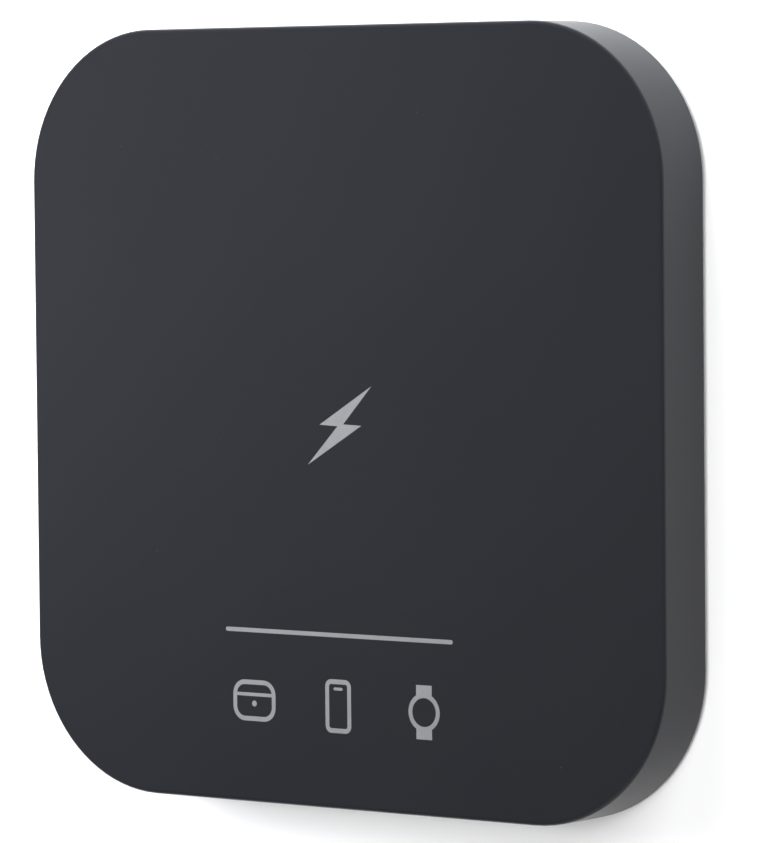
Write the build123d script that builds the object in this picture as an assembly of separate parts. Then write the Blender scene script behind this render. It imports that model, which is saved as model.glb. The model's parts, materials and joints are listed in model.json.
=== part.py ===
"""Square wireless charging pad: a two-part plastic casing with rubber feet, around a flat coil on a
ferrite disc and a ring-shaped circuit board with a micro-USB inlet and a status light.

Millimetres. The pad lies on its feet with the charging face up: +Z is out of the charging face, +Y
points to the side with the USB inlet, -Y to the side with the status light. The origin is on the
surface that the pad stands on, below the middle of the face.
"""

import os
from math import atan2, cos, degrees, radians, sin

from build123d import *

# Casing, driving dimensions
WIDTH = 90.0  # both sides of the square
CORNER_R = 17.8
CASE_HEIGHT = 8.45  # from the underside of the casing to the charging face
FOOT_DROP = 0.6  # how far the feet stand below the casing
FACE_T = 1.6
WALL_T = 1.8
FACE_EDGE_R = 0.5
UNDER_EDGE_R = 0.4

# Levels worked out from them
CASE_LOW = FOOT_DROP
CASE_TOP = CASE_LOW + CASE_HEIGHT
CEILING = CASE_TOP - FACE_T
CAVITY = WIDTH - 2 * WALL_T

# Base plate, let into a step in the wall
BASE_T = 1.4
STEP_WALL_T = 0.9
SEAM_GAP = 0.12
FLOOR = CASE_LOW + BASE_T
LIP_T = 0.9
LIP_GAP = 0.1
LIP_TOP = FLOOR + 1.1
SNAP_LENGTH = 6.0
SNAP_REACH = 0.5
SNAP_HEIGHT = 0.5
SNAP_LOW = FLOOR + 0.55
SNAP_AT = 15.0  # each side of the middle, on all four walls
SNAP_ROOM = 0.12

# Screws, with the feet glued over their heads
CORNER_AT = 30.5  # the four screws and feet, from the middle, along X and Y
FOOT_R = 5.0
FOOT_T = 1.2
FOOT_ROOM = 0.15
FOOT_EDGE = 0.3
FOOT_GROOVE = (3.9, 3.3, 0.25)  # outer radius, inner radius, depth
FOOT_SEAT_TOP = FOOT_T
HEAD_R = 1.75
HEAD_T = 0.9
HEAD_ROOM = 0.15
SHANK_R = 0.95
SHANK_LENGTH = 4.2
THREAD_DEPTH = 0.15
THREAD_PITCH = 0.6
CROSS_WIDTH = 0.45
CROSS_SPAN = 1.9
CROSS_DEPTH = 0.5
PILOT_R = 1.0
SCREW_HOLE_R = 1.15
BOSS_R = 2.6
STANDOFF_R = 3.4
HEAD_SEAT = 2.2  # level of the web that the screw head pulls on

# Circuit board
BOARD_SIDE = 83.4
BOARD_LOW = FLOOR + 0.8
BOARD_T = 0.8
BOARD_TOP = BOARD_LOW + BOARD_T
BOARD_HOLE_R = 27.0
CLEAR = 0.05  # air between parts that are not fitted to each other

# Coil stack, in the board's central hole
FOAM_R = 22.8
FERRITE_R = 24.0
FERRITE_T = 1.1
FERRITE_LOW = FLOOR + 1.7
TAPE_T = 0.1
TAPE_R = 22.0
TAPE_HOLE_R = 9.8
WIRE_D = 1.0
COIL_PITCH = 1.12
COIL_TURNS = 10
COIL_START_R = 10.5
COIL_Z = FERRITE_LOW + FERRITE_T + TAPE_T + WIRE_D / 2
LEAD_OVER_Z = COIL_Z + WIRE_D + 0.12
LEAD_PAD_X = 33.5
OUTER_LEAD_PAD_Y = 9.5
INNER_LEAD_PAD_Y = -8.0
LEAD_END_Z = BOARD_TOP + 0.62
COIL_RIB_R = 24.5
COIL_RIB_T = 1.0
COIL_RIB_TOP = COIL_Z - 0.2
COIL_RIB_SWEEP = 50.0

# Micro-USB inlet, measured about the middle of its mouth
USB_WIDE = 6.9
USB_HIGH = 1.85
USB_SHELL_T = 0.3
USB_MOUTH_Y = WIDTH / 2 - 0.4
USB_LENGTH = 5.6
USB_FLARE = 0.2
USB_FLARE_T = 0.3
USB_Z = BOARD_TOP + CLEAR + USB_SHELL_T + USB_HIGH / 2
USB_HOLE = (8.6, 3.4)
USB_HOLE_R = 0.7
USB_HOLE_LOW = USB_Z - USB_HOLE[1] / 2
TAB_GAP = 0.08  # each side of the base plate's tab that closes the notch below the inlet
TONGUE_WIDE = 3.9
TONGUE_T = 0.6
TONGUE_LENGTH = 3.6
CONTACTS = 5
CONTACT_PITCH = 0.65
CONTACT_WIDE = 0.3
CONTACT_T = 0.12

# Regulator
REGULATOR_AT = (-10.0, 35.6)
REGULATOR_SIZE = (2.9, 1.3, 1.0)
REGULATOR_LOW = BOARD_TOP + 0.15

# Status light
LIGHT_Z = BOARD_TOP + 0.7
LIGHT_SLOT = (4.0, 1.4)
LIGHT_ROOM = 0.05
LIGHT_FLANGE = (5.6, 2.0)
LIGHT_FLANGE_T = 0.7
LED_SIZE = (3.0, 1.0, 1.2)

# Marks let into the charging face, flush with it
MARK_DEPTH = 0.06
BOLT = [(5.2, 3.85), (-2.3, -0.74), (0.28, -0.86), (-4.05, -5.4), (3.7, -0.72), (1.1, -0.62)]
RULE_Y = -24.9
RULE_SIZE = (32.6, 0.5)
ICON_Y = -33.1
ICON_GAP = 12.2
ICON_LINE = 0.55

# Blank rating label on the underside
LABEL_SIZE = (34.0, 20.0)
LABEL_R = 1.5
LABEL_T = 0.12
LABEL_SEAT = 0.15


def corners(at=CORNER_AT):
    """The four screw places, from the front left, anticlockwise from above."""
    return [(-at, -at), (at, -at), (at, at), (-at, at)]


def slab(outline, low, high):
    """A flat outline raised from one level to another."""
    return extrude(Plane.XY.offset(low) * outline, amount=high - low)


def block(x, y, low, size):
    """A box with its middle over (x, y), standing on the level low."""
    wide, deep, high = size
    return Pos(x, y, low + high / 2) * Box(wide, deep, high)


def post(x, y, low, high, radius):
    """A round post or hole between two levels."""
    return Pos(x, y, (low + high) / 2) * Cylinder(radius, high - low)


def casing_outline(inset=0.0):
    """The square with round corners, drawn in by inset all round."""
    side = WIDTH - 2 * inset
    return RectangleRounded(side, side, CORNER_R - inset)


def joined(shapes):
    """Several separate solids as one sub-part."""
    solids = [solid for shape in shapes for solid in shape.solids()]
    return Compound(children=solids)


def edges_at(shape, level):
    """The edges that lie flat at a level."""
    return shape.edges().filter_by_position(Axis.Z, level - 0.001, level + 0.001)


# Marks on the face


def ring_outline(wide, high, radius, line=ICON_LINE):
    """A rounded rectangle drawn as a line."""
    inner = RectangleRounded(wide - 2 * line, high - 2 * line, max(radius - line, 0.05))
    return RectangleRounded(wide, high, radius) - inner


def phone_icon():
    """A telephone standing on end, with its speaker slot."""
    return ring_outline(3.7, 6.2, 0.85) + Pos(0, 2.0) * SlotOverall(1.3, 0.35)


def earbud_case_icon():
    """A case for earphones, with the line of its lid."""
    case = ring_outline(6.2, 4.8, 1.7)
    lid = Pos(0, 0.7) * Rectangle(5.6, 0.4)
    return case + lid + Pos(0, -0.35) * Circle(0.35)


def watch_icon():
    """A round watch with two short straps."""
    dial = Circle(2.2) - Circle(2.2 - ICON_LINE)
    strap = Rectangle(2.2, 6.2) - Circle(2.0)
    return dial + strap


def bolt_outline():
    """The lightning bolt in the middle of the face."""
    return make_face(Polyline(*BOLT, close=True))


def device_outline():
    """A thin rule over three line icons of things that charge on the pad."""
    icons = (earbud_case_icon(), phone_icon(), watch_icon())
    marks = Pos(0, RULE_Y) * SlotOverall(*RULE_SIZE)
    for place, icon in enumerate(icons):
        marks += Pos((place - 1) * ICON_GAP, ICON_Y) * icon
    return marks


def face_mark(outline):
    """Ink let into the face, flush with it."""
    return joined([slab(outline, CASE_TOP - MARK_DEPTH, CASE_TOP)])


# Casing


def screw_boss(x, y):
    """A post under the face that a casing screw cuts its thread into."""
    return post(x, y, BOARD_TOP + CLEAR, CEILING, BOSS_R)


def coil_ribs():
    """Four curved ribs on the base plate that keep the coil stack in the middle."""
    ring = Circle(COIL_RIB_R + COIL_RIB_T) - Circle(COIL_RIB_R)
    far = 2 * COIL_RIB_R
    half = radians(COIL_RIB_SWEEP / 2)
    ribs = []
    for quarter in range(4):
        middle = radians(45 + 90 * quarter)
        points = [(far * cos(middle + a), far * sin(middle + a)) for a in (-half, half)]
        wedge = make_face(Polyline((0, 0), *points, close=True))
        ribs.append(slab(ring & wedge, FLOOR, COIL_RIB_TOP))
    return ribs


def snap_blocks(inner, outer, room=0.0):
    """Eight blocks on the four walls, between two distances from the middle."""
    size = (SNAP_LENGTH + 2 * room, outer - inner, SNAP_HEIGHT + 2 * room)
    blocks = []
    for quarter in range(4):
        for side in (-SNAP_AT, SNAP_AT):
            lug = block(side, (inner + outer) / 2, SNAP_LOW - room, size)
            blocks.append(Rot(0, 0, 90 * quarter) * lug)
    return blocks


def wall_hole(outline, y_middle):
    """A prism along Y through a wall, from an outline drawn in X and Z."""
    cut = extrude(Plane.XZ * outline, amount=WALL_T, both=True)
    return Pos(0, y_middle, 0) * cut


def usb_hole():
    """The opening for the plug, with a chamfer around the outside."""
    y_outer = WIDTH / 2
    hole = wall_hole(Pos(0, USB_Z) * RectangleRounded(*USB_HOLE, USB_HOLE_R), y_outer - WALL_T / 2)
    lead_in = RectangleRounded(USB_HOLE[0] + 0.8, USB_HOLE[1] + 0.8, USB_HOLE_R + 0.4)
    mouth = Plane((0, y_outer, USB_Z), x_dir=(1, 0, 0), z_dir=(0, -1, 0)) * lead_in
    return hole + extrude(mouth, amount=0.4, taper=45)


def usb_notch(gap=0.0):
    """The part of the wall below the inlet, from the lip outwards, drawn in by gap at both sides."""
    inner = CAVITY / 2 - LIP_GAP - LIP_T
    wide = USB_HOLE[0] - 2 * gap
    deep = WIDTH / 2 - inner + 1
    return block(0, inner + deep / 2, CASE_LOW, (wide, deep, USB_HOLE_LOW - CASE_LOW))


def casing_block():
    """The whole casing as one lump, with its outer edges rounded."""
    lump = slab(casing_outline(), CASE_LOW, CASE_TOP)
    lump = fillet(edges_at(lump, CASE_TOP), FACE_EDGE_R)
    return fillet(edges_at(lump, CASE_LOW), UNDER_EDGE_R)


def top_cover():
    """The face and side walls in one moulding, open below, with a notch under the inlet."""
    cover = casing_block()
    cover -= slab(casing_outline(WALL_T), CASE_LOW, CEILING)
    cover -= slab(casing_outline(STEP_WALL_T), CASE_LOW, FLOOR + CLEAR)
    for x, y in corners():
        cover += screw_boss(x, y)
    for x, y in corners():
        cover -= post(x, y, BOARD_TOP, BOARD_TOP + SHANK_LENGTH - 0.6, PILOT_R)
    reach = CAVITY / 2 + SNAP_REACH + SNAP_ROOM
    for pocket in snap_blocks(CAVITY / 2 - LIP_GAP, reach, SNAP_ROOM):
        cover -= pocket
    cover -= usb_hole()
    cover -= usb_notch()
    cover -= wall_hole(Pos(0, LIGHT_Z) * SlotOverall(*LIGHT_SLOT), WALL_T / 2 - WIDTH / 2)
    for outline in (bolt_outline(), device_outline()):
        cover -= slab(outline, CASE_TOP - MARK_DEPTH, CASE_TOP)
    return cover


def bottom_cover():
    """The base plate, with its lip and snaps, the screw standoffs, the foam's seat and the coil ribs."""
    plate = slab(casing_outline(STEP_WALL_T + SEAM_GAP), CASE_LOW, FLOOR)
    lip_inset = WALL_T + LIP_GAP
    lip = casing_outline(lip_inset) - casing_outline(lip_inset + LIP_T)
    plate += slab(lip, FLOOR, LIP_TOP)
    lug_outer = CAVITY / 2 + SNAP_REACH
    for lug in snap_blocks(CAVITY / 2 - LIP_GAP - LIP_T / 2, lug_outer):
        plate += lug
    plate += usb_notch(TAB_GAP) & casing_block()
    plate -= usb_hole()
    for x, y in corners():
        plate += post(x, y, FLOOR, BOARD_LOW - CLEAR, STANDOFF_R)
    seat = Circle(FOAM_R + 1.2) - Circle(FOAM_R + 0.3)
    plate += slab(seat, FLOOR, FLOOR + 0.8)
    for rib in coil_ribs():
        plate += rib
    for x, y in corners():
        plate -= post(x, y, CASE_LOW, FOOT_SEAT_TOP, FOOT_R + FOOT_ROOM)
        plate -= post(x, y, FOOT_SEAT_TOP, HEAD_SEAT, HEAD_R + HEAD_ROOM)
        plate -= post(x, y, HEAD_SEAT, BOARD_LOW, SCREW_HOLE_R)
    plate -= slab(RectangleRounded(*LABEL_SIZE, LABEL_R), CASE_LOW, CASE_LOW + LABEL_SEAT)
    return plate


def foot(x, y):
    """A glued rubber disc over one screw, with a ring groove in its sole."""
    disc = post(x, y, 0, FOOT_T, FOOT_R)
    disc = chamfer(edges_at(disc, 0), FOOT_EDGE)
    outer, inner, depth = FOOT_GROOVE
    return disc - (post(x, y, 0, depth, outer) - post(x, y, 0, depth, inner))


def rating_label():
    """A blank foil sticker in its shallow seat."""
    gap = 0.15
    outline = RectangleRounded(LABEL_SIZE[0] - 2 * gap, LABEL_SIZE[1] - 2 * gap, LABEL_R - gap)
    high = CASE_LOW + LABEL_SEAT
    return slab(outline, high - LABEL_T, high)


def screw():
    """A pan-head screw pointing up, its head's underside at level 0."""
    turns = int((SHANK_LENGTH - 0.6) / THREAD_PITCH)
    core = SHANK_R - THREAD_DEPTH
    profile = [(0, -HEAD_T), (HEAD_R - 0.5, -HEAD_T), (HEAD_R, -HEAD_T + 0.5), (HEAD_R, 0), (core, 0)]
    for turn in range(turns):
        level = 0.2 + turn * THREAD_PITCH
        profile += [(core, level), (SHANK_R, level + 0.25), (core, level + 0.5)]
    profile += [(core, SHANK_LENGTH - 0.4), (0.3, SHANK_LENGTH), (0, SHANK_LENGTH)]
    solid = revolve(Plane.XZ * make_face(Polyline(*profile, close=True)), Axis.Z)
    for size in ((CROSS_SPAN, CROSS_WIDTH, CROSS_DEPTH), (CROSS_WIDTH, CROSS_SPAN, CROSS_DEPTH)):
        solid -= block(0, 0, -HEAD_T, size)
    return solid


def cover_screws():
    """The four casing screws, driven from below."""
    one = screw()
    return joined([Pos(x, y, HEAD_SEAT) * one for x, y in corners()])


# Coil stack


def foam_pad():
    """The foam disc that presses the coil stack up."""
    return slab(Circle(FOAM_R), FLOOR, FERRITE_LOW)


def ferrite_shield():
    """The ferrite disc below the coil, with its edge broken."""
    disc = slab(Circle(FERRITE_R), FERRITE_LOW, FERRITE_LOW + FERRITE_T)
    return chamfer(edges_at(disc, FERRITE_LOW + FERRITE_T), 0.2)


def coil_tape():
    """The ring of double-sided tape between the ferrite and the coil."""
    low = FERRITE_LOW + FERRITE_T
    return slab(Circle(TAPE_R) - Circle(TAPE_HOLE_R), low, low + TAPE_T)


def coil_path():
    """A flat spiral of half circles, each half a pitch larger than the last, on two centres in turn."""
    halves = []
    for half in range(2 * COIL_TURNS):
        centre = (half % 2) * COIL_PITCH / 2
        radius = COIL_START_R + half * COIL_PITCH / 2
        start = 180 * (half % 2)
        halves.append(CenterArc((centre, 0, COIL_Z), radius, start, 180))
    return Wire([arc.edge() for arc in halves])


def round_wire(path, start, along):
    """A round wire swept along a path from its start point."""
    section = Plane(origin=start, z_dir=along) * Circle(WIRE_D / 2)
    return sweep(section, path=path)


def coil_winding():
    """Ten turns of stranded copper wire."""
    return round_wire(coil_path(), (COIL_START_R, 0, COIL_Z), (0, 1, 0))


def lead(points):
    """A wire along straight runs joined by arcs as large as the runs allow."""
    places = [Vector(*p) for p in points]
    radii = []
    for a, b, c in zip(places, places[1:], places[2:]):
        turn = radians((b - a).get_angle(c - b))
        shorter = min((b - a).length, (c - b).length)
        radii.append(0.45 * shorter / (sin(turn / 2) / cos(turn / 2)))
    path = FilletPolyline(*places, radius=radii)
    return round_wire(path, places[0], places[1] - places[0])


def coil_leads():
    """The outer end of the coil's wire, and the inner end that crosses over the turns."""
    outer_x = COIL_START_R + COIL_TURNS * COIL_PITCH
    outer = [
        (outer_x, 0, COIL_Z),
        (outer_x, 2.6, COIL_Z),
        (24.0, 5.8, COIL_Z),
        (28.4, 8.6, COIL_Z - 0.4),
        (31.6, OUTER_LEAD_PAD_Y, LEAD_END_Z + 0.2),
        (LEAD_PAD_X, OUTER_LEAD_PAD_Y, LEAD_END_Z),
    ]
    inner = [
        (COIL_START_R, 0, COIL_Z),
        (COIL_START_R, -0.9, COIL_Z),
        (9.6, -2.6, COIL_Z + 0.3),
        (9.6, -4.4, LEAD_OVER_Z),
        (12.6, -6.0, LEAD_OVER_Z),
        (18.0, -6.9, LEAD_OVER_Z),
        (24.0, -7.4, LEAD_OVER_Z),
        (28.6, INNER_LEAD_PAD_Y, COIL_Z),
        (31.6, INNER_LEAD_PAD_Y, LEAD_END_Z + 0.2),
        (LEAD_PAD_X, INNER_LEAD_PAD_Y, LEAD_END_Z),
    ]
    return joined([lead(outer), lead(inner)])


def solder_joints(leads):
    """Two domes of solder on the board around the ends of the leads."""
    domes = []
    for y in (OUTER_LEAD_PAD_Y, INNER_LEAD_PAD_Y):
        ball = Pos(LEAD_PAD_X + 0.5, y, BOARD_TOP - 0.5) * Sphere(1.9)
        dome = ball & block(LEAD_PAD_X, y, BOARD_TOP, (6, 6, 3))
        domes.append(dome - leads)
    return joined(domes)


# Circuit board and what is on it


def main_board():
    """The board, a rounded square around the coil stack, with four screw holes."""
    inset = (WIDTH - BOARD_SIDE) / 2
    board = slab(casing_outline(inset), BOARD_LOW, BOARD_TOP)
    board -= post(0, 0, BOARD_LOW, BOARD_TOP, BOARD_HOLE_R)
    for x, y in corners():
        board -= post(x, y, BOARD_LOW, BOARD_TOP, SCREW_HOLE_R)
    return board


def usb_outline(grow=0.0):
    """The inlet's section: square shoulders above, the two lower corners cut away."""
    wide = USB_WIDE / 2 + grow
    high = USB_HIGH / 2 + grow
    foot_wide = wide - 0.75
    shoulder = -0.15
    right = [(wide, high), (wide, shoulder), (foot_wide, -high)]
    left = [(-x, z) for x, z in reversed(right)]
    return make_face(Polyline(*right, *left, close=True))


def usb_prism(outline, front, back):
    """The inlet's section run from its front to its back, in Y."""
    plane = Plane((0, front, USB_Z), x_dir=(-1, 0, 0), z_dir=(0, -1, 0))
    return extrude(plane * outline, amount=front - back)


def usb_shell():
    """The folded steel shell, with a flared mouth and four solder tabs."""
    back = USB_MOUTH_Y - USB_LENGTH
    shell = usb_prism(usb_outline(USB_SHELL_T), USB_MOUTH_Y, back)
    shell += usb_prism(usb_outline(USB_SHELL_T + USB_FLARE), USB_MOUTH_Y, USB_MOUTH_Y - USB_FLARE_T)
    shell -= usb_prism(usb_outline(), USB_MOUTH_Y, back)
    for side in (-1, 1):
        for y in (back + 0.7, back + 2.4):
            middle = side * (USB_WIDE / 2 + USB_SHELL_T + 0.35)
            tab = block(middle, y, BOARD_TOP + CLEAR, (1.1, 1.0, 0.25))
            stem_x = side * (USB_WIDE / 2 + USB_SHELL_T / 2)
            stem = block(stem_x, y, BOARD_TOP + CLEAR, (USB_SHELL_T, 1.0, 1.1))
            shell += tab + stem
    return shell


def usb_tongue():
    """The plastic insert: a block that closes the shell's back, and the tongue that carries the contacts."""
    back = USB_MOUTH_Y - USB_LENGTH
    insert = usb_prism(usb_outline(-0.02), back + 1.2, back)
    low = USB_Z + 0.05
    insert += block(0, back + 1.2 + TONGUE_LENGTH / 2, low, (TONGUE_WIDE, TONGUE_LENGTH, TONGUE_T))
    return insert


def usb_contacts():
    """Five gold strips under the tongue."""
    back = USB_MOUTH_Y - USB_LENGTH + 1.2
    level = USB_Z + 0.05 - CONTACT_T
    length = TONGUE_LENGTH - 0.4
    strips = []
    for place in range(CONTACTS):
        x = (place - (CONTACTS - 1) / 2) * CONTACT_PITCH
        strips.append(block(x, back + length / 2, level, (CONTACT_WIDE, length, CONTACT_T)))
    return joined(strips)


def status_led():
    """The side-looking light on the board's front edge."""
    y = -BOARD_SIDE / 2 + LED_SIZE[1] / 2
    lamp = block(0, y, BOARD_TOP, LED_SIZE)
    return fillet(lamp.edges().filter_by(Axis.Y), 0.15)


def light_pipe():
    """The milky lens in the front wall, with the flange that holds it from inside."""
    outer = -WIDTH / 2 + 0.05
    inner = -CAVITY / 2
    slot = SlotOverall(LIGHT_SLOT[0] - 2 * LIGHT_ROOM, LIGHT_SLOT[1] - 2 * LIGHT_ROOM)
    plane = Plane((0, outer, LIGHT_Z), x_dir=(1, 0, 0), z_dir=(0, 1, 0))
    lens = extrude(plane * slot, amount=inner - outer + CLEAR)
    flange = block(0, inner + CLEAR + LIGHT_FLANGE_T / 2, LIGHT_Z - LIGHT_FLANGE[1] / 2 + 0.25,
                   (LIGHT_FLANGE[0], LIGHT_FLANGE_T, LIGHT_FLANGE[1] - 0.25))
    return lens + flange


def controller_ic():
    """The charging controller, with the dimple that marks its first pin."""
    x, y = -34.0, 5.0
    chip = block(x, y, BOARD_TOP + CLEAR, (5.0, 5.0, 0.85))
    top = BOARD_TOP + CLEAR + 0.85
    return chip - post(x - 1.8, y + 1.8, top - 0.1, top, 0.35)


def power_mosfets():
    """Four power switches of the coil's bridge."""
    places = [(x, y) for x in (31.0, 35.6) for y in (16.6, 21.4)]
    return joined([block(x, y, BOARD_TOP + CLEAR, (3.3, 3.3, 0.9)) for x, y in places])


def voltage_regulator():
    """The body of a small regulator."""
    return block(*REGULATOR_AT, REGULATOR_LOW, REGULATOR_SIZE)


def regulator_legs():
    """Its three tinned legs, which leave the body level with its underside: two in front, one behind."""
    x, y = REGULATOR_AT
    reach = 0.7
    out = REGULATOR_SIZE[1] / 2 + reach / 2
    places = [(-0.95, -1), (0.95, -1), (0.0, 1)]
    return [block(x + leg_x, y + side * out, BOARD_TOP + CLEAR, (0.4, reach, 0.2)) for leg_x, side in places]


def chip_places():
    """Each two-ended part as (kind, x, y, quarter turns, (length, width, height))."""
    resistor = (1.6, 0.8, 0.5)
    filter_part = (3.2, 1.6, 1.3)
    resonant = (4.5, 3.2, 1.9)
    parts = [("filter", x, 36.4, 1, filter_part) for x in (9.0, 12.2, 15.4)]
    parts += [("resonant", x, y, 0, resonant) for x in (32.2, 37.4) for y in (-14.4, -19.0)]
    parts += [("resistor", -38.6, y, 0, resistor) for y in (-4.5, -2.7, 1.5, 3.3, 5.1)]
    parts += [("resistor", x, 12.0, 1, resistor) for x in (-36.6, -34.6, -32.6, -30.6)]
    parts += [("resistor", x, -38.2, 1, resistor) for x in (4.4, 6.4)]
    parts += [("thermistor", -29.0, -7.0, 1, resistor)]
    return parts


def chips(*kinds):
    """The ceramic middles of the chosen two-ended parts."""
    shapes = []
    for kind, x, y, quarter, (length, wide, high) in chip_places():
        if kind in kinds:
            middle = block(0, 0, BOARD_TOP + CLEAR, (0.6 * length, wide, high))
            shapes.append(Pos(x, y) * Rot(0, 0, 90 * quarter) * middle)
    return joined(shapes)


def chip_terminals():
    """The tinned ends of every two-ended part, and the regulator's legs."""
    shapes = regulator_legs()
    for _kind, x, y, quarter, (length, wide, high) in chip_places():
        for side in (-0.4, 0.4):
            end = block(side * length, 0, BOARD_TOP + CLEAR, (0.2 * length, wide, high))
            shapes.append(Pos(x, y) * Rot(0, 0, 90 * quarter) * end)
    return joined(shapes)


def sub_parts():
    """Every sub-part by its node name."""
    leads = coil_leads()
    nodes = {
        "top_cover": top_cover(),
        "bottom_cover": bottom_cover(),
        "bolt_mark": face_mark(bolt_outline()),
        "device_marks": face_mark(device_outline()),
        "rating_label": rating_label(),
        "cover_screws": cover_screws(),
        "foam_pad": foam_pad(),
        "ferrite_shield": ferrite_shield(),
        "coil_tape": coil_tape(),
        "coil_winding": coil_winding(),
        "coil_leads": leads,
        "solder_joints": solder_joints(leads),
        "main_board": main_board(),
        "usb_shell": usb_shell(),
        "usb_tongue": usb_tongue(),
        "usb_contacts": usb_contacts(),
        "status_led": status_led(),
        "light_pipe": light_pipe(),
        "controller_ic": controller_ic(),
        "power_mosfets": power_mosfets(),
        "voltage_regulator": voltage_regulator(),
        "resonant_capacitors": chips("resonant"),
        "filter_capacitors": chips("filter"),
        "chip_resistors": chips("resistor"),
        "thermistor": chips("thermistor"),
        "chip_terminals": chip_terminals(),
    }
    names = ("front_left", "front_right", "back_right", "back_left")
    for name, (x, y) in zip(names, corners()):
        nodes["foot_" + name] = foot(x, y)
    return nodes


def main():
    """Write every sub-part to its own file."""
    os.makedirs("parts", exist_ok=True)
    for name, shape in sub_parts().items():
        export_step(shape, f"parts/{name}.step")
        print(name, "volume", round(shape.volume, 2), "solids", len(shape.solids()))


main()
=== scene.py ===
"""Looks, light and camera for the square wireless charging pad.

Metres, in the CAD model's frame: the pad lies on its feet with the charging face up, and the camera
looks at it from its right with +Y up.
"""

import json
import math

import bpy
from mathutils import Matrix, Vector


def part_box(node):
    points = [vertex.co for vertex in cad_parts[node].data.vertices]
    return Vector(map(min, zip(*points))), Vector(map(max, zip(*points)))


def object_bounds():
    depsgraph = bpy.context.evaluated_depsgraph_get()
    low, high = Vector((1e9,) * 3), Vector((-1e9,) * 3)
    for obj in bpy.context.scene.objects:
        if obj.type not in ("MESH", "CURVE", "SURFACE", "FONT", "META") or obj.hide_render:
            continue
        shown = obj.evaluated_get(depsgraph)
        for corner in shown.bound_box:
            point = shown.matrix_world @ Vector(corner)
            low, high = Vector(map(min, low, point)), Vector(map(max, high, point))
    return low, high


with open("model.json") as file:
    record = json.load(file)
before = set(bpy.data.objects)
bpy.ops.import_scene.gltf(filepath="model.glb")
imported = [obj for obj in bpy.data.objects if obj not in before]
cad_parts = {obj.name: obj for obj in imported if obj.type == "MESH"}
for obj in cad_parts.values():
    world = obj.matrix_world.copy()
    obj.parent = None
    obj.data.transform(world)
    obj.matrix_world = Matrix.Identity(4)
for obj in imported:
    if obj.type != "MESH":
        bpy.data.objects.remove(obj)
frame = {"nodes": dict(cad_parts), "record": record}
CAD_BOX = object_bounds()

MM = 0.001

# Camera, from the middle of the charging face
EYE_FROM_FACE = Vector((367.0, 32.9, 485.7)) * MM
AIM_FROM_FACE = Vector((6.29, -0.16, 0.0)) * MM
CAMERA_ROLL = math.radians(0.54)
LENS = 227.3  # mm
SENSOR = 36.0  # mm, the longer side

# Far lamps: direction, strength, width in degrees as seen from the pad, and whether gloss mirrors them.
# The back is the inlet's side, +Y, and the front is the status light's.
SUNS = {
    "overhead": (Vector((0.25, 0.0, 0.97)), 2.45, 28, False),
    "from_back_right": (Vector((0.60, 0.65, 0.55)), 2.86, 45, False),
    "from_front": (Vector((0.0, -0.82, 0.57)), 0.55, 45, True),
}
# Near strips: place, size, power and colour; gloss doesn't mirror them
STRIPS = {
    "inlet_strip": (Vector((-0.03, 0.16, 0.09)), (0.14, 0.06), 0.74, (0.91, 0.95, 1.0)),
    "left_strip": (Vector((-0.16, 0.0, 0.09)), (0.06, 0.18), 0.50, (0.96, 0.97, 1.0)),
}
SKY_HORIZON = (0.95, 0.955, 0.97)
SKY_TOP = (0.05, 0.05, 0.053)
SKY_BAND = 0.14  # sine of the height at which the sky is dark

FLOOR_RADIUS = 20.0
FLOOR_LIGHT = (0.70, 0.70, 0.70, 1)
FLOOR_DARK = (0.68, 0.68, 0.685, 1)

# Plastic of the casing, and the ink on it
COVER_LIGHT = (0.0119, 0.0123, 0.0143, 1)
COVER_DARK = (0.0109, 0.0112, 0.0134, 1)
BASE_LIGHT = (0.017, 0.017, 0.019, 1)
BASE_DARK = (0.011, 0.011, 0.013, 1)
INK_LIGHT = (0.150, 0.150, 0.155, 1)
INK_DARK = (0.124, 0.124, 0.129, 1)
COVER_SHEEN = (0.95, 0.945, 1.0, 1)
DUST = (0.10, 0.10, 0.11, 1)

# Patterns
NOISE_LOW = 0.3  # the usual range of a noise
NOISE_HIGH = 0.7
DUST_GAP = 2.4 * MM
DUST_COVER = 0.35
LABEL_MARGIN = 1.3 * MM  # from the label's edge to its printed frame
STRAND_RIDGES = 60.0  # in one turn of the coil
STRAND_PITCH = 0.55 * MM
BOARD_BLOCK = 6.0 * MM  # blocks of tracks that run one way
TRACK_PITCH = 0.7 * MM
VIA_PITCH = 1.9 * MM


# Shader nodes


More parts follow.
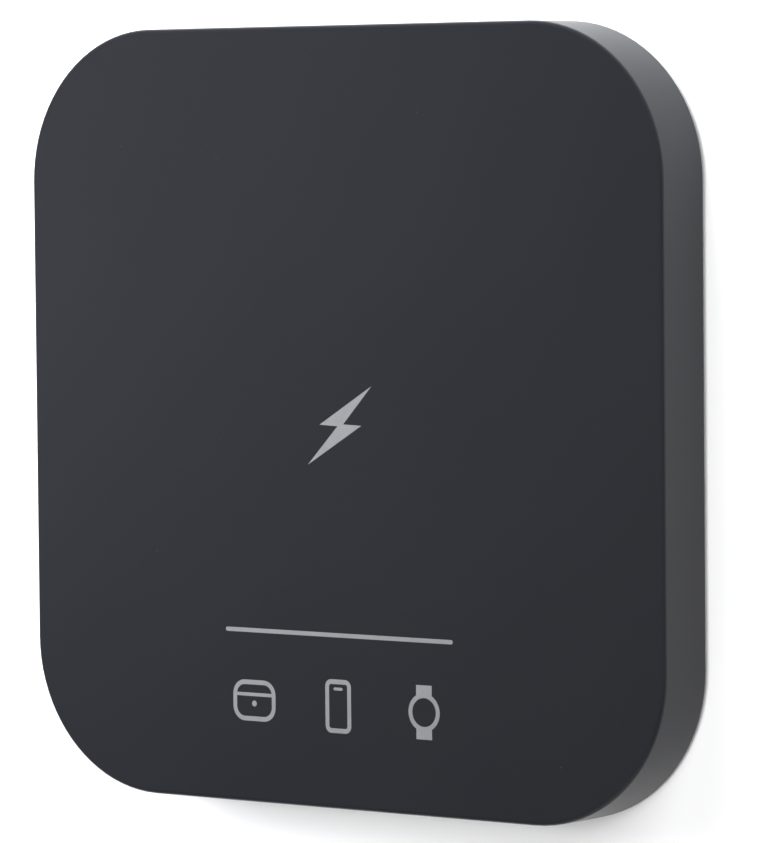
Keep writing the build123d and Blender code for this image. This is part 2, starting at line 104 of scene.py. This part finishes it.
class Look:
    """One procedural material: a Principled shader with the nodes that feed it."""

    def __init__(self, name, metallic=0.0, ior=1.45):
        self.material = bpy.data.materials.new(name)
        self.material.use_nodes = True
        self.nodes = self.material.node_tree.nodes
        self.links = self.material.node_tree.links
        self.shader = self.nodes["Principled BSDF"]
        self.shader.inputs["Metallic"].default_value = metallic
        self.shader.inputs["IOR"].default_value = ior
        self.place = self.nodes.new("ShaderNodeTexCoord").outputs["Object"]

    def feed(self, socket, value):
        """Give a socket a number, a colour or another node's output."""
        if isinstance(value, bpy.types.NodeSocket):
            self.links.new(value, socket)
        else:
            socket.default_value = value

    def set(self, name, value):
        """Feed one of the shader's own sockets."""
        self.feed(self.shader.inputs[name], value)

    def math(self, operation, a, b=0.0, c=0.0):
        """A number worked out from up to three others."""
        node = self.nodes.new("ShaderNodeMath")
        node.operation = operation
        for socket, value in zip(node.inputs, (a, b, c)):
            self.feed(socket, value)
        return node.outputs[0]

    def axes(self, place=None):
        """The place's X, Y and Z."""
        node = self.nodes.new("ShaderNodeSeparateXYZ")
        self.links.new(place or self.place, node.inputs[0])
        return node.outputs

    def stretched(self, scale):
        """The place, scaled by a different amount along each axis."""
        node = self.nodes.new("ShaderNodeMapping")
        self.links.new(self.place, node.inputs["Vector"])
        node.inputs["Scale"].default_value = scale
        return node.outputs[0]

    def noise(self, size, detail=2.0, place=None):
        """Smooth noise whose features are about size across, in metres."""
        node = self.nodes.new("ShaderNodeTexNoise")
        self.links.new(place or self.place, node.inputs["Vector"])
        node.inputs["Scale"].default_value = 1 / size
        node.inputs["Detail"].default_value = detail
        return node.outputs["Fac"]

    def cells(self, size, feature="F1", spread=1.0, distance="EUCLIDEAN"):
        """A cell pattern, as its distance and its random colour."""
        node = self.nodes.new("ShaderNodeTexVoronoi")
        node.feature = feature
        node.distance = distance
        self.links.new(self.place, node.inputs["Vector"])
        node.inputs["Scale"].default_value = 1 / size
        node.inputs["Randomness"].default_value = spread
        return node.outputs

    def steps(self, factor, low, high):
        """The factor as 0 below low and 1 above high, smooth between."""
        node = self.nodes.new("ShaderNodeMapRange")
        node.interpolation_type = "SMOOTHSTEP"
        self.links.new(factor, node.inputs["Value"])
        node.inputs["From Min"].default_value = low
        node.inputs["From Max"].default_value = high
        return node.outputs[0]

    def between(self, factor, low, high):
        """A number that runs from low to high as the factor runs over a noise's usual range."""
        node = self.nodes.new("ShaderNodeMapRange")
        self.links.new(factor, node.inputs["Value"])
        node.inputs["From Min"].default_value = NOISE_LOW
        node.inputs["From Max"].default_value = NOISE_HIGH
        node.inputs["To Min"].default_value = low
        node.inputs["To Max"].default_value = high
        return node.outputs[0]

    def mix(self, factor, first, second):
        """Two colours mixed."""
        node = self.nodes.new("ShaderNodeMix")
        node.data_type = "RGBA"
        self.feed(node.inputs["Factor"], factor)
        colours = [socket for socket in node.inputs if socket.type == "RGBA"]
        self.feed(colours[0], first)
        self.feed(colours[1], second)
        return next(socket for socket in node.outputs if socket.type == "RGBA")

    def bump(self, height, depth):
        """Relief of a depth in metres."""
        node = self.nodes.new("ShaderNodeBump")
        node.inputs["Strength"].default_value = 1.0
        node.inputs["Distance"].default_value = depth
        self.links.new(height, node.inputs["Height"])
        return node.outputs[0]


def grain(look, light, dark, size, depth, rough_low, rough_high):
    """A fine moulded grain, with a slow drift in colour and gloss."""
    slow = look.noise(26 * MM, detail=3.0)
    fine = look.noise(size, detail=1.5)
    colour = look.mix(look.between(slow, 0.15, 0.85), dark, light)
    shade = look.mix(look.between(fine, 0.0, 0.12), colour, light)
    look.set("Base Color", shade)
    look.set("Roughness", look.between(look.noise(9 * MM, detail=4.0), rough_low, rough_high))
    look.set("Normal", look.bump(fine, depth))
    return shade


# Casing


def dust(look, colour):
    """Sparse specks of dust on the surface, in one cell of ten."""
    found = look.cells(DUST_GAP)
    chosen = look.steps(look.axes(found["Color"])[0], 0.90, 0.91)
    spot = look.math("SUBTRACT", 1.0, look.steps(found["Distance"], 0.028, 0.05))
    cover = look.math("MULTIPLY", look.math("MULTIPLY", spot, chosen), DUST_COVER)
    return look.mix(cover, colour, DUST)


def cover_plastic():
    """Soft-touch matt charcoal: a very fine grain under a slow drift, a few specks of dust."""
    look = Look("cover_plastic", ior=1.34)
    shade = grain(look, COVER_LIGHT, COVER_DARK, 0.16 * MM, 0.006 * MM, 0.34, 0.36)
    look.set("Base Color", dust(look, shade))
    look.set("Specular Tint", COVER_SHEEN)
    return look.material


def base_plastic():
    """The base plate's coarser spark texture."""
    look = Look("base_plastic")
    grain(look, BASE_LIGHT, BASE_DARK, 0.30 * MM, 0.025 * MM, 0.5, 0.66)
    return look.material


def ink(name):
    """Pad-printed ink: a thin film with a fine screen of lighter and darker grains."""
    look = Look(name, ior=1.48)
    fine = look.noise(0.09 * MM, detail=2.0)
    slow = look.noise(1.6 * MM, detail=3.0)
    tone = look.mix(look.between(slow, 0.2, 0.9), INK_DARK, INK_LIGHT)
    look.set("Base Color", look.mix(look.between(fine, 0.0, 0.3), tone, INK_DARK))
    look.set("Roughness", look.between(fine, 0.45, 0.6))
    look.set("Normal", look.bump(fine, 0.004 * MM))
    return look.material


def rubber():
    """Moulded silicone rubber, a little dusty."""
    look = Look("foot_rubber", ior=1.42)
    slow = look.noise(1.7 * MM, detail=4.0)
    fine = look.noise(0.12 * MM)
    dusty = look.between(slow, 0.0, 0.8)
    look.set("Base Color", look.mix(dusty, (0.012, 0.012, 0.012, 1), (0.024, 0.024, 0.024, 1)))
    look.set("Roughness", look.between(slow, 0.68, 0.84))
    look.set("Normal", look.bump(fine, 0.02 * MM))
    return look.material


def label_foil():
    """A satin grey sticker with a thin printed frame and nothing written in it."""
    look = Look("label_foil", ior=1.5)
    x, y, _z = look.axes()
    _low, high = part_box("rating_label")
    across = look.math("SUBTRACT", high[0] - LABEL_MARGIN, look.math("ABSOLUTE", x))
    along = look.math("SUBTRACT", high[1] - LABEL_MARGIN, look.math("ABSOLUTE", y))
    inside = look.math("ABSOLUTE", look.math("MINIMUM", across, along))
    line = look.math("SUBTRACT", 1.0, look.steps(inside, 0.13 * MM, 0.19 * MM))
    brushed = look.noise(0.1 * MM, place=look.stretched((0.03, 1, 1)))
    foil = look.mix(look.between(brushed, 0.1, 0.9), (0.15, 0.15, 0.155, 1), (0.21, 0.21, 0.215, 1))
    look.set("Base Color", look.mix(line, foil, (0.02, 0.02, 0.02, 1)))
    look.set("Roughness", look.between(brushed, 0.36, 0.48))
    look.set("Normal", look.bump(brushed, 0.002 * MM))
    return look.material


# Metal


def metal(name, light, dark, rough, size, stretch=(1, 1, 1), depth=0.004 * MM):
    """Plated or soldered metal with fine marks drawn along one way."""
    look = Look(name, metallic=1.0)
    marks = look.noise(size, detail=3.0, place=look.stretched(stretch))
    slow = look.noise(2.5 * MM, detail=3.0)
    look.set("Base Color", look.mix(look.between(slow, 0.1, 0.9), dark, light))
    look.set("Roughness", look.between(marks, *rough))
    look.set("Normal", look.bump(marks, depth))
    return look.material


def coil_wire():
    """Enamelled copper strands, twisted together: fine slanting ridges along the wire, with painted shade
    darkening the copper in the grooves between the strands.
    """
    look = Look("coil_wire", metallic=0.85)
    x, y, z = look.axes()
    squares = look.math("ADD", look.math("MULTIPLY", x, x), look.math("MULTIPLY", y, y))
    radius = look.math("SQRT", squares)
    along = look.math("MULTIPLY", look.math("ARCTAN2", y, x), STRAND_RIDGES)
    lean = look.math("MULTIPLY", look.math("ADD", z, radius), 2 * math.pi / STRAND_PITCH)
    wave = look.math("SINE", look.math("ADD", along, lean))
    ridge_and_groove_shade = look.math("MULTIPLY_ADD", wave, 0.5, 0.5)
    # Painted shade: the copper is coloured darker in the grooves between the strands and lighter on their
    # crests.
    copper = look.mix(ridge_and_groove_shade, (0.34, 0.11, 0.045, 1), (0.72, 0.31, 0.13, 1))
    look.set("Base Color", copper)
    look.set("Roughness", look.between(look.noise(0.4 * MM), 0.27, 0.42))
    look.set("Normal", look.bump(ridge_and_groove_shade, 0.05 * MM))
    look.set("Coat Weight", 0.35)
    look.set("Coat Roughness", 0.2)
    return look.material


# Board and chips


def tracks(look):
    """1 where the board has copper under its mask and 0 between: blocks of tracks, and poured areas."""
    x, y, _z = look.axes()
    nearest = look.cells(BOARD_BLOCK, spread=0.85, distance="CHEBYCHEV")
    second = look.cells(BOARD_BLOCK, feature="F2", spread=0.85, distance="CHEBYCHEV")
    turn = look.steps(look.axes(nearest["Color"])[0], 0.49, 0.51)
    other = look.math("SUBTRACT", 1.0, turn)
    waves = 2 * math.pi / TRACK_PITCH
    rows = look.math("MULTIPLY", look.math("SINE", look.math("MULTIPLY", x, waves)), turn)
    columns = look.math("MULTIPLY", look.math("SINE", look.math("MULTIPLY", y, waves)), other)
    track = look.steps(look.math("ADD", rows, columns), -0.1, 0.1)
    poured = look.steps(look.axes(nearest["Color"])[1], 0.55, 0.56)
    inside = look.steps(look.math("SUBTRACT", second["Distance"], nearest["Distance"]), 0.04, 0.06)
    return look.math("MULTIPLY", look.math("MAXIMUM", track, poured), inside)


def vias(look):
    """1 on the board's small vias, in four cells of ten."""
    found = look.cells(VIA_PITCH)
    ring = look.math("SUBTRACT", 1.0, look.steps(found["Distance"], 0.12, 0.14))
    chosen = look.steps(look.axes(found["Color"])[2], 0.6, 0.62)
    return look.math("MULTIPLY", ring, chosen)


def board_laminate():
    """Green solder mask over copper."""
    look = Look("board_laminate", ior=1.5)
    copper = tracks(look)
    fine = look.noise(0.12 * MM)
    mask = look.mix(copper, (0.004, 0.050, 0.020, 1), (0.009, 0.105, 0.038, 1))
    mask = look.mix(vias(look), mask, (0.05, 0.16, 0.07, 1))
    look.set("Base Color", look.mix(look.between(fine, 0.0, 0.2), mask, (0.003, 0.04, 0.02, 1)))
    look.set("Roughness", look.between(fine, 0.26, 0.38))
    look.set("Normal", look.bump(copper, 0.03 * MM))
    return look.material


def foam():
    """Open-cell foam: small pores between thin cell sides, the pores painted dark as the shade inside them.
    """
    look = Look("foam")
    pores = look.cells(0.32 * MM)["Distance"]
    pore_shade_mix = look.steps(pores, 0.1, 0.7)
    # Painted shade: the pores are coloured dark where shade would fall inside them, and the cell sides
    # lighter.
    look.set("Base Color", look.mix(pore_shade_mix, (0.02, 0.02, 0.022, 1), (0.085, 0.085, 0.09, 1)))
    look.set("Roughness", look.between(pores, 0.9, 1.0))
    look.set("Normal", look.bump(pores, 0.15 * MM))
    return look.material


def speckled(name, light, dark, rough, size, ior=1.5):
    """Pressed powder, ceramic or moulded resin, with specks of a second tone."""
    look = Look(name, ior=ior)
    specks = look.cells(size)
    tone = look.steps(look.axes(specks["Color"])[0], 0.35, 0.9)
    fine = look.noise(0.6 * size, detail=3.0)
    look.set("Base Color", look.mix(tone, dark, light))
    look.set("Roughness", look.between(fine, *rough))
    look.set("Normal", look.bump(fine, 0.004 * MM))
    return look.material


def tape():
    """Thin double-sided tape on a fibre scrim."""
    look = Look("tape")
    fibres = look.noise(0.15 * MM, detail=4.0, place=look.stretched((0.12, 1, 1)))
    crossing = look.noise(0.15 * MM, detail=4.0, place=look.stretched((1, 0.12, 1)))
    weave = look.math("MAXIMUM", fibres, crossing)
    threads = look.steps(weave, 0.45, 0.75)
    look.set("Base Color", look.mix(threads, (0.52, 0.46, 0.30, 1), (0.72, 0.68, 0.52, 1)))
    look.set("Roughness", look.between(weave, 0.4, 0.62))
    look.set("Normal", look.bump(weave, 0.01 * MM))
    return look.material


def milky_lens():
    """Milky polycarbonate that lets light through."""
    look = Look("light_lens", ior=1.585)
    cloud = look.noise(0.8 * MM, detail=3.0)
    drift = look.between(cloud, 0.0, 1.0)
    look.set("Base Color", look.mix(drift, (0.50, 0.50, 0.49, 1), (0.62, 0.62, 0.61, 1)))
    look.set("Roughness", look.between(cloud, 0.26, 0.36))
    look.set("Normal", look.bump(cloud, 0.004 * MM))
    look.set("Transmission Weight", 0.25)
    return look.material


def led_resin():
    """Clear yellowish resin over the phosphor."""
    look = Look("led_resin", ior=1.53)
    cloud = look.noise(0.5 * MM, detail=2.0)
    drift = look.between(cloud, 0.0, 1.0)
    look.set("Base Color", look.mix(drift, (0.72, 0.66, 0.30, 1), (0.85, 0.80, 0.50, 1)))
    look.set("Roughness", look.between(cloud, 0.15, 0.28))
    look.set("Transmission Weight", 0.3)
    return look.material


def metals():
    """The metal slots."""
    return {
        "screw_steel": metal(
            "screw_steel", light=(0.55, 0.55, 0.57, 1), dark=(0.38, 0.38, 0.40, 1),
            rough=(0.25, 0.42), size=0.2 * MM,
        ),
        "solder": metal(
            "solder", light=(0.72, 0.72, 0.71, 1), dark=(0.55, 0.55, 0.54, 1),
            rough=(0.16, 0.32), size=0.5 * MM, depth=0.01 * MM,
        ),
        "shell_steel": metal(
            "shell_steel", light=(0.66, 0.65, 0.62, 1), dark=(0.52, 0.51, 0.49, 1),
            rough=(0.22, 0.36), size=0.08 * MM, stretch=(1, 0.08, 1),
        ),
        "contact_gold": metal(
            "contact_gold", light=(0.92, 0.68, 0.28, 1), dark=(0.78, 0.54, 0.20, 1),
            rough=(0.16, 0.28), size=0.1 * MM, stretch=(1, 0.1, 1),
        ),
        "terminal_tin": metal(
            "terminal_tin", light=(0.74, 0.74, 0.72, 1), dark=(0.60, 0.60, 0.58, 1),
            rough=(0.25, 0.4), size=0.15 * MM,
        ),
    }


def powders():
    """The slots of moulded resin, ferrite and ceramic."""
    return {
        "chip_epoxy": speckled(
            "chip_epoxy", light=(0.022, 0.022, 0.024, 1), dark=(0.012, 0.012, 0.013, 1),
            rough=(0.5, 0.65), size=0.12 * MM,
        ),
        "connector_plastic": speckled(
            "connector_plastic", light=(0.016, 0.016, 0.016, 1), dark=(0.009, 0.009, 0.009, 1),
            rough=(0.42, 0.55), size=0.1 * MM,
        ),
        "ferrite": speckled(
            "ferrite", light=(0.070, 0.066, 0.064, 1), dark=(0.035, 0.033, 0.032, 1),
            rough=(0.45, 0.62), size=0.25 * MM, ior=1.9,
        ),
        "capacitor_ceramic": speckled(
            "capacitor_ceramic", light=(0.45, 0.29, 0.15, 1), dark=(0.36, 0.21, 0.10, 1),
            rough=(0.35, 0.5), size=0.1 * MM,
        ),
        "resistor_ceramic": speckled(
            "resistor_ceramic", light=(0.030, 0.030, 0.035, 1), dark=(0.012, 0.012, 0.016, 1),
            rough=(0.2, 0.35), size=0.1 * MM,
        ),
        "thermistor_ceramic": speckled(
            "thermistor_ceramic", light=(0.07, 0.12, 0.07, 1), dark=(0.040, 0.080, 0.045, 1),
            rough=(0.3, 0.45), size=0.1 * MM,
        ),
    }


def looks():
    """One material for each of the record's slots."""
    made = {
        "cover_plastic": cover_plastic(),
        "base_plastic": base_plastic(),
        "bolt_ink": ink("bolt_ink"),
        "mark_ink": ink("mark_ink"),
        "label_foil": label_foil(),
        "foot_rubber": rubber(),
        "foam": foam(),
        "tape": tape(),
        "coil_wire": coil_wire(),
        "board_laminate": board_laminate(),
        "led_resin": led_resin(),
        "light_lens": milky_lens(),
    }
    return made | metals() | powders()


def dress():
    """Give every CAD node the material of its slot in the record."""
    made = looks()
    for part in frame["record"]["subparts"]:
        node = frame["nodes"][part["node"]]
        node.data.materials.clear()
        node.data.materials.append(made[part["material_slot"]])


# Stage


def floor_material():
    """Plain pale card."""
    look = Look("stage_card")
    soft = look.noise(0.15, detail=2.0)
    drift = look.between(soft, 0.0, 1.0)
    look.set("Base Color", look.mix(drift, FLOOR_DARK, FLOOR_LIGHT))
    look.set("Roughness", 0.9)
    look.set("Specular IOR Level", 0.1)
    return look.material


def floor():
    """A large flat disc that the pad lies on."""
    bpy.ops.mesh.primitive_circle_add(vertices=96, radius=FLOOR_RADIUS, fill_type="NGON", location=(0, 0, 0))
    card = bpy.context.object
    card.name = "stage_floor"
    card.data.materials.append(floor_material())


def sky():
    """A soft surround: pale at the horizon, dark overhead, so that the face stays dark."""
    world = bpy.data.worlds.new("surround")
    bpy.context.scene.world = world
    world.use_nodes = True
    nodes = world.node_tree.nodes
    links = world.node_tree.links
    place = nodes.new("ShaderNodeTexCoord")
    split = nodes.new("ShaderNodeSeparateXYZ")
    height = nodes.new("ShaderNodeMapRange")
    height.interpolation_type = "SMOOTHSTEP"
    height.inputs["From Min"].default_value = 0.0
    height.inputs["From Max"].default_value = SKY_BAND
    tone = nodes.new("ShaderNodeMix")
    tone.data_type = "RGBA"
    colours = [socket for socket in tone.inputs if socket.type == "RGBA"]
    colours[0].default_value = (*SKY_HORIZON, 1)
    colours[1].default_value = (*SKY_TOP, 1)
    links.new(place.outputs["Generated"], split.inputs[0])
    links.new(split.outputs["Z"], height.inputs["Value"])
    links.new(height.outputs[0], tone.inputs["Factor"])
    mixed = next(socket for socket in tone.outputs if socket.type == "RGBA")
    links.new(mixed, nodes["Background"].inputs["Color"])


def suns():
    """Soft lamps a long way off."""
    for name, (towards, strength, width, mirrored) in SUNS.items():
        data = bpy.data.lights.new(name, "SUN")
        data.energy = strength
        data.angle = math.radians(width)
        lamp = bpy.data.objects.new(name, data)
        lamp.rotation_euler = towards.to_track_quat("Z", "Y").to_euler()
        lamp.visible_glossy = mirrored
        bpy.context.collection.objects.link(lamp)


def strips():
    """Strip lights close to the inlet side and the left side, which brighten the face towards them."""
    for name, (place, size, power, colour) in STRIPS.items():
        data = bpy.data.lights.new(name, "AREA")
        data.shape = "RECTANGLE"
        data.size, data.size_y = size
        data.energy = power
        data.color = colour
        lamp = bpy.data.objects.new(name, data)
        lamp.location = place
        lamp.rotation_euler = place.to_track_quat("Z", "Y").to_euler()
        lamp.visible_camera = False
        lamp.visible_glossy = False
        bpy.context.collection.objects.link(lamp)


def camera():
    """The camera, turned so that +Y is up in its picture."""
    face = Vector((0, 0, CAD_BOX[1][2]))
    eye = face + EYE_FROM_FACE
    forward = (face + AIM_FROM_FACE - eye).normalized()
    right = forward.cross(Vector((0, 1, 0))).normalized()
    up = right.cross(forward)
    turn = Matrix((right, up, -forward)).transposed()
    data = bpy.data.cameras.new("camera")
    data.lens = LENS
    data.sensor_width = SENSOR
    data.clip_start = 0.01
    data.clip_end = 100.0
    view = bpy.data.objects.new("camera", data)
    view.matrix_world = Matrix.Translation(eye) @ (turn @ Matrix.Rotation(-CAMERA_ROLL, 3, "Z")).to_4x4()
    bpy.context.collection.objects.link(view)
    bpy.context.scene.camera = view


bpy.context.scene.view_settings.view_transform = "Standard"
dress()
floor()
sky()
suns()
strips()
camera()
